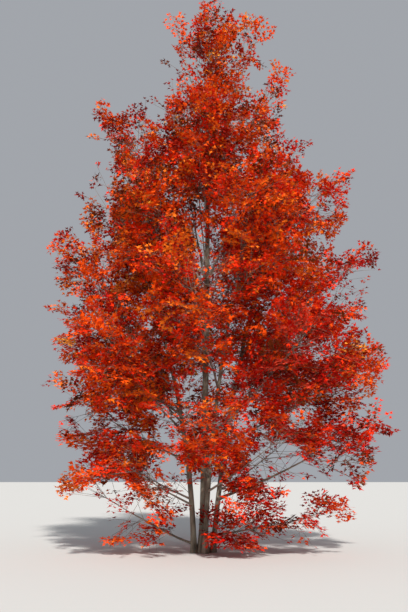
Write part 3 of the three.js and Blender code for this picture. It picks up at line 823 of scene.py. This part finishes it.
def leaf_mesh(rows, dice):
    """Corners, triangles and tints of a batch of leaves, each of four triangles and a stalk of one."""
    rows = np.array(rows, float)
    count = len(rows)
    at, size, tint = rows[:, 0:3], rows[:, 9:10], rows[:, 10].astype(int)
    normal = unit_rows(rows[:, 6:9])
    way = rows[:, 3:6]
    way = unit_rows(way - normal * (way * normal).sum(axis=1, keepdims=True))
    side = np.cross(normal, way)
    stalk = STALK["length"] * dice.uniform(*STALK["spread"], (count, 1))
    base = at + way * stalk
    fold = dice.uniform(*LEAF_FOLD, (count, 1))
    droop = dice.uniform(*LEAF_DROOP, (count, 1))

    def corner(name, sign=1):
        along, across = LEAF_POINTS[name]
        lift = fold * across - droop * along**2
        return base + (way * along + side * sign * across + normal * lift) * size

    corners = np.stack([
        at - side * STALK["half_width"],
        at + side * STALK["half_width"],
        corner("base"),
        corner("tip"),
        corner("notch"), corner("lobe"),
        corner("notch", -1), corner("lobe", -1),
    ], axis=1)
    faces = np.array([
        (0, 1, 2),
        (2, 3, 4), (2, 4, 5),
        (2, 6, 3), (2, 7, 6),
    ])
    offsets = np.arange(count)[:, None, None] * corners.shape[1]
    return corners.reshape(-1, 3), (faces[None] + offsets).reshape(-1, 3), np.repeat(tint, len(faces))


def rod_mesh(rows):
    """Three-sided rods from their starts to their ends."""
    rows = np.array(rows, float)
    start, end, radii = rows[:, 0:3], rows[:, 3:6], rows[:, 6:8]
    along = unit_rows(end - start)
    level = np.cross(along, np.where(np.abs(along[:, 2:3]) > 0.95, [[0.0, 1.0, 0.0]], [[0.0, 0.0, 1.0]]))
    level = unit_rows(level)
    rise = np.cross(level, along)
    rings = []
    for place, radius in ((start, radii[:, 0:1]), (end, radii[:, 1:2])):
        for turn in (90, 210, 330):
            angle = math.radians(turn)
            rings.append(place + (level * math.cos(angle) + rise * math.sin(angle)) * radius)
    corners = np.stack(rings, axis=1)
    faces = np.array([(0, 1, 4), (0, 4, 3), (1, 2, 5), (1, 5, 4), (2, 0, 3), (2, 3, 5)])
    offsets = np.arange(len(rows))[:, None, None] * 6
    return corners.reshape(-1, 3), (faces[None] + offsets).reshape(-1, 3)


def new_piece(name, corners, faces, materials, nodes=(), face_tints=None, smooth=False):
    mesh = bpy.data.meshes.new(name)
    mesh.vertices.add(len(corners))
    mesh.vertices.foreach_set("co", np.asarray(corners, np.float32).ravel())
    sides = faces.shape[1]
    mesh.loops.add(faces.size)
    mesh.loops.foreach_set("vertex_index", faces.astype(np.int32).ravel())
    mesh.polygons.add(len(faces))
    mesh.polygons.foreach_set("loop_start", np.arange(0, faces.size, sides, dtype=np.int32))
    for material in materials:
        mesh.materials.append(material)
    if face_tints is not None:
        mesh.polygons.foreach_set("material_index", np.asarray(face_tints, np.int32))
    mesh.polygons.foreach_set("use_smooth", np.full(len(faces), smooth))
    mesh.update()
    mesh.validate()
    piece = bpy.data.objects.new(name, mesh)
    bpy.context.collection.objects.link(piece)
    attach(piece, "root")
    if nodes:
        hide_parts(*nodes)
    return piece


def plain_material(name, color, roughness=0.6):
    material = bpy.data.materials.new(name)
    material.use_nodes = True
    shader = material.node_tree.nodes["Principled BSDF"]
    shader.inputs["Base Color"].default_value = (*color, 1)
    shader.inputs["Roughness"].default_value = roughness
    shader.inputs["Specular IOR Level"].default_value = 0.05
    return material


def bark_material(name, pale, dark, grain, depth):
    """Grey bark with long dark streaks, pale patches, and a bump of the same grain."""
    material = bpy.data.materials.new(name)
    material.use_nodes = True
    nodes, links = material.node_tree.nodes, material.node_tree.links
    shader = nodes["Principled BSDF"]
    shader.inputs["Roughness"].default_value = 0.88
    shader.inputs["Specular IOR Level"].default_value = 0.2
    place = nodes.new("ShaderNodeTexCoord")
    stretch = nodes.new("ShaderNodeMapping")
    stretch.inputs["Scale"].default_value = (grain, grain, grain * 0.22)
    streaks = nodes.new("ShaderNodeTexNoise")
    streaks.inputs["Scale"].default_value = 9
    streaks.inputs["Detail"].default_value = 8
    streaks.inputs["Roughness"].default_value = 0.65
    patches = nodes.new("ShaderNodeTexNoise")
    patches.inputs["Scale"].default_value = 2.2
    patches.inputs["Detail"].default_value = 4
    blend = nodes.new("ShaderNodeMix")
    blend.data_type = "FLOAT"
    blend.inputs["Factor"].default_value = 0.42
    ramp = nodes.new("ShaderNodeValToRGB")
    ramp.color_ramp.elements[0].position = 0.36
    ramp.color_ramp.elements[0].color = (*dark, 1)
    ramp.color_ramp.elements[1].position = 0.62
    ramp.color_ramp.elements[1].color = (*pale, 1)
    bump = nodes.new("ShaderNodeBump")
    bump.inputs["Strength"].default_value = 0.6
    bump.inputs["Distance"].default_value = depth
    links.new(place.outputs["Object"], stretch.inputs["Vector"])
    links.new(stretch.outputs["Vector"], streaks.inputs["Vector"])
    links.new(place.outputs["Object"], patches.inputs["Vector"])
    links.new(streaks.outputs["Fac"], blend.inputs["A"])
    links.new(patches.outputs["Fac"], blend.inputs["B"])
    links.new(blend.outputs["Result"], ramp.inputs["Fac"])
    links.new(ramp.outputs["Color"], shader.inputs["Base Color"])
    links.new(streaks.outputs["Fac"], bump.inputs["Height"])
    links.new(bump.outputs["Normal"], shader.inputs["Normal"])
    return material


def tube(points, frames, radius_at, sides):
    """A closed tube through points, with radius_at(ring, angles) round each."""
    angles = np.arange(sides) * 2 * math.pi / sides
    corners = []
    for ring, (point, (side, rise)) in enumerate(zip(points, frames)):
        radii = radius_at(ring, angles)
        level = point + np.outer(radii * np.cos(angles), side)
        corners.append(level + np.outer(radii * np.sin(angles), rise))
    count = len(points)
    faces = []
    for ring in range(count - 1):
        low, high = ring * sides, (ring + 1) * sides
        for i in range(sides):
            k = (i + 1) % sides
            faces.append((low + i, high + i, high + k))
            faces.append((low + i, high + k, low + k))
    corners.append(np.array([points[0], points[-1]]))
    foot, tip = count * sides, count * sides + 1
    last = (count - 1) * sides
    for i in range(sides):
        k = (i + 1) % sides
        faces.append((foot, i, k))
        faces.append((tip, last + k, last + i))
    return np.vstack(corners), np.array(faces)


def round_tube(points, frames, radii, sides):
    return tube(points, frames, lambda ring, angles: np.full(sides, radii[ring]), sides)


def upright_frame(along):
    side = unit(np.array([0.0, 1.0, 0.0]) - along * along[1])
    return side, np.cross(side, along)


def bark_relief(angles, height, shift, depth):
    """Low ridges that run up a stem and wander round it, in metres."""
    relief = np.zeros_like(angles)
    for ribs, pitch, share in RIDGES:
        wander = math.sin(height / pitch + shift * ribs) * RIDGE_WAY["sway"] + height * RIDGE_WAY["twist"]
        wave = math.sin(height / pitch * RIDGE_SWELL["pace"] + ribs)
        swell = RIDGE_SWELL["middle"] + RIDGE_SWELL["spread"] * wave
        relief = relief + share * swell * np.cos(ribs * angles + wander)
    return depth * relief / RIDGE_SHARES


def stem_radius(limb, share, angles):
    """The radius round a stem at a share of its height: its taper, and the ribs of its root flare."""
    flare = FLARE if limb.name == "trunk" else FOOT_FLARE
    height = share * limb.line.corners[2][2]
    ribs = 1 + flare["rib"] * np.cos(flare["ribs"] * angles)
    widened = flare["width"] * math.exp(-height / flare["height"]) * ribs
    return STEM_TIP_RADIUS + limb.radius * (1 - share) ** STEM_TAPER + widened


def make_stem(limb, number, material):
    """A stem in bark, up to where its foliage begins."""
    mesh = TRUNK_MESH if limb.name == "trunk" else STEM_MESH
    rings, relief = mesh["rings"], mesh["relief"]
    shares = (np.arange(rings + 1) / rings) ** RINGS_CLOSER * limb.bare
    points = [limb.line.at(share) for share in shares]
    frames = []
    for share in shares:
        blend = (share / limb.bare) ** RINGS_TURN
        frames.append(upright_frame(unit(UP * (1 - blend) + limb.line.along(share) * blend)))

    def radius_at(ring, angles):
        ridges = bark_relief(angles, points[ring][2], number, relief)
        return stem_radius(limb, shares[ring], angles) - relief * RELIEF_SUNK + ridges

    corners, faces = tube(points, frames, radius_at, mesh["sides"])
    corners[:, 2] = np.maximum(corners[:, 2], 0)
    new_piece("bark_" + limb.name, corners, faces, [material], [limb.name], smooth=True)


def waved(line, shares, wave, dice):
    """Points and frames along a line, with slight bends that die out at both ends."""
    shift = dice.uniform(0, 6, 2)
    points, frames = [], []
    for share in shares:
        part = share / shares[-1]
        level, rise = across_frame(line.along(share))
        aside = level * math.sin(part * wave["side"] + shift[0])
        bend = aside + rise * math.sin(part * wave["rise"] + shift[1])
        points.append(line.at(share) + bend * math.sin(part * math.pi) * wave["width"])
        frames.append((level, rise))
    return points, frames


def make_bough(limb, material, dice):
    """A bough in bark: a collar where it leaves its stem, and slight bends along it."""
    rings = BOUGH_MESH["rings"]
    shares = np.arange(rings + 1) / rings * limb.bare
    points, frames = waved(limb.line, shares, BOUGH_WAVE, dice)
    length = limb.line.part(0, limb.bare).length()

    def radius_at(ring, angles):
        part = shares[ring] / limb.bare
        collar = COLLAR["swell"] * math.exp(-max(0, part * length - COLLAR["from"]) / COLLAR["length"])
        knots = sum(height * np.cos(count * angles + ring * turn) for count, height, turn in KNOTS)
        radius = BOUGH_TIP_RADIUS + BOUGH_TAPER * length * (1 - part)
        return radius * (1 + collar) + knots - BOUGH_MESH["sunk"]

    corners, faces = tube(points, frames, radius_at, BOUGH_MESH["sides"])
    new_piece("bark_" + limb.name, corners, faces, [material], [limb.name], smooth=True)


def mass_stem_tube(mass):
    """The stem of a mass, on from its limb's end, tapering to its last twig."""
    limb = mass.limb
    rings = MASS_STEM["rings"] * mass.rings
    if limb.radius:
        start = float(stem_radius(limb, limb.bare, np.zeros(1))[0])
    elif limb.direct:
        start = BOUGH_TIP_RADIUS + BOUGH_TAPER * mass.line.length() * BOUGH_BARE
    else:
        start = BOUGH_TIP_RADIUS
    shares = np.arange(rings + 1) / rings
    points = [mass.on_stem(share) for share in shares]
    frames = [across_frame(mass.line.along(share * mass.reach)) for share in shares]
    slender = MASS_STEM["slender"] if limb.direct or limb.radius else 1.0
    radii = MASS_STEM["tip"] + (start - MASS_STEM["tip"]) * (1 - shares) ** slender
    return round_tube(points, frames, radii, MASS_STEM["sides"])


def leader_tube(height, azimuth, reach, tip_height, dice):
    """A steep limb that forks off the trunk, with slight bends along it."""
    trunk = limbs["trunk"].line
    root = trunk.at(trunk.share_at_height(height))
    turn = math.radians(azimuth)
    tip = np.array([math.cos(turn) * reach, math.sin(turn) * reach, tip_height])
    out, rise = LEADER_KNEE["out"], LEADER_KNEE["up"]
    line = Bend(root, root + (tip - root) * np.array([out, out, rise]), tip)
    shares = np.arange(LEADER_MESH["rings"] + 1) / LEADER_MESH["rings"]
    points, frames = waved(line, shares, LEADER_WAVE, dice)
    radii = LEADER_RADIUS["tip"] + (LEADER_RADIUS["foot"] - LEADER_RADIUS["tip"]) * (1 - shares)
    return round_tube(points, frames, radii, LEADER_MESH["sides"])


def twig_tube(twig, dice):
    """A twig with a slight bend."""
    frame_here = across_frame(twig.direction)
    bend = frame_here[0] * dice.uniform(-1, 1) + frame_here[1] * dice.uniform(-1, 1)
    shares = (0, 0.25, 0.5, 0.75, 1)
    points = [twig.at(share) + bend * TWIG_MESH["bend"] * math.sin(share * math.pi) for share in shares]
    radii = [twig.radius * (TWIG_MESH["foot"] - TWIG_MESH["taper"] * share) for share in shares]
    return round_tube(points, [frame_here] * len(shares), radii, TWIG_MESH["sides"])


def joined(parts):
    corners, faces, shift = [], [], 0
    for part_corners, part_faces in parts:
        corners.append(part_corners)
        faces.append(part_faces + shift)
        shift += len(part_corners)
    return np.vstack(corners), np.vstack(faces)


def make_foliage(mass, tints, twig_parts):
    """The leaves of a mass as one piece. Its twigs go into twig_parts, for one piece to each stem."""
    dice = np.random.default_rng(4000 + mass.index)
    twigs, sprays = grow_twigs(mass)
    grow_side_sprays(mass, twigs, sprays)
    fine = grow_fine_twigs(mass, twigs, sprays, dice)
    foliage = Foliage()
    for start, spray in fine:
        foliage.rod(start, spray.root, FINE_TWIG["foot"], FINE_TWIG["tip"])
    for spray in sprays + [spray for _, spray in fine]:
        grow_spray(foliage, spray, dice, mass.limb.family)
    corners, faces, face_tints = leaf_mesh(foliage.leaves, dice)
    new_piece("foliage_" + mass.name[len("leaves_"):], corners, faces, tints,
              [mass.name], face_tints)
    twig_parts.append((rod_mesh(foliage.rods), 0))
    twig_parts.append((mass_stem_tube(mass), 1))
    twig_parts.extend((twig_tube(twig, dice), 1) for twig in twigs)
    return len(foliage.leaves), len(sprays), len(fine)


def make_tree():
    bark = bark_material("bark", **STEM_BARK)
    bough_bark = bark_material("bough_bark", **BOUGH_BARK)
    twig_bark = plain_material("twig_bark", TWIG_COLOR, roughness=0.85)
    wood_bark = plain_material("wood_bark", WOOD_COLOR, roughness=0.85)
    tints = [plain_material("leaf_" + name, color) for name, color in TINTS.items()]
    dice = np.random.default_rng(77)
    for number, limb in enumerate(limbs.values()):
        if limb.radius:
            make_stem(limb, number, bark)
        elif not limb.direct:
            make_bough(limb, bough_bark, dice)
    counts = []
    twig_parts = {stem[0]: [] for stem in STEMS}
    for mass in masses:
        stem = mass.limb.parent.name if mass.limb.parent else mass.limb.name
        counts.append(make_foliage(mass, tints, twig_parts[stem]))
    leader_dice = np.random.default_rng(78)
    twig_parts["trunk"].extend((leader_tube(*leader, leader_dice), 1) for leader in LEADERS)
    for stem, parts in twig_parts.items():
        corners, faces = joined([part for part, _ in parts])
        kinds = np.concatenate([np.full(len(part[1]), kind) for part, kind in parts])
        new_piece("twigs_of_" + stem, corners, faces, [twig_bark, wood_bark], face_tints=kinds)
    leaves, sprays, fine = (sum(column) for column in zip(*counts))
    triangles = sum(len(piece.data.polygons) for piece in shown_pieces())
    print(f"{leaves} leaves, {sprays} sprays, {fine} fine sprays, {triangles} triangles")


def make_studio():
    """A plain pale floor, a pale sky all round, and a broad sun from behind the camera."""
    floor_mesh = bpy.data.meshes.new("floor")
    wide = FLOOR["half_width"]
    corners = [(-wide, -wide, 0), (wide, -wide, 0), (wide, wide, 0), (-wide, wide, 0)]
    floor_mesh.from_pydata(corners, [], [(0, 1, 2, 3)])
    floor_mesh.materials.append(plain_material("floor", FLOOR["color"], roughness=0.9))
    floor = bpy.data.objects.new("floor", floor_mesh)
    floor.location.z = -FLOOR["below"]
    bpy.context.collection.objects.link(floor)
    floor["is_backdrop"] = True

    sun = bpy.data.objects.new("sun", bpy.data.lights.new("sun", "SUN"))
    sun.data.energy = SUN["energy"]
    sun.data.angle = math.radians(SUN["width"])
    sun.data.color = SUN["color"]
    sun.rotation_euler = (math.radians(SUN["from_zenith"]), 0, math.radians(SUN["aside"]))
    bpy.context.collection.objects.link(sun)
    sun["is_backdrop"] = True

    world = bpy.data.worlds.new("studio")
    world.use_nodes = True
    sky = world.node_tree.nodes["Background"]
    sky.inputs["Color"].default_value = SKY["color"]
    sky.inputs["Strength"].default_value = SKY["strength"]
    bpy.context.scene.world = world
    bpy.context.scene.view_settings.view_transform = "Standard"


make_tree()
make_studio()
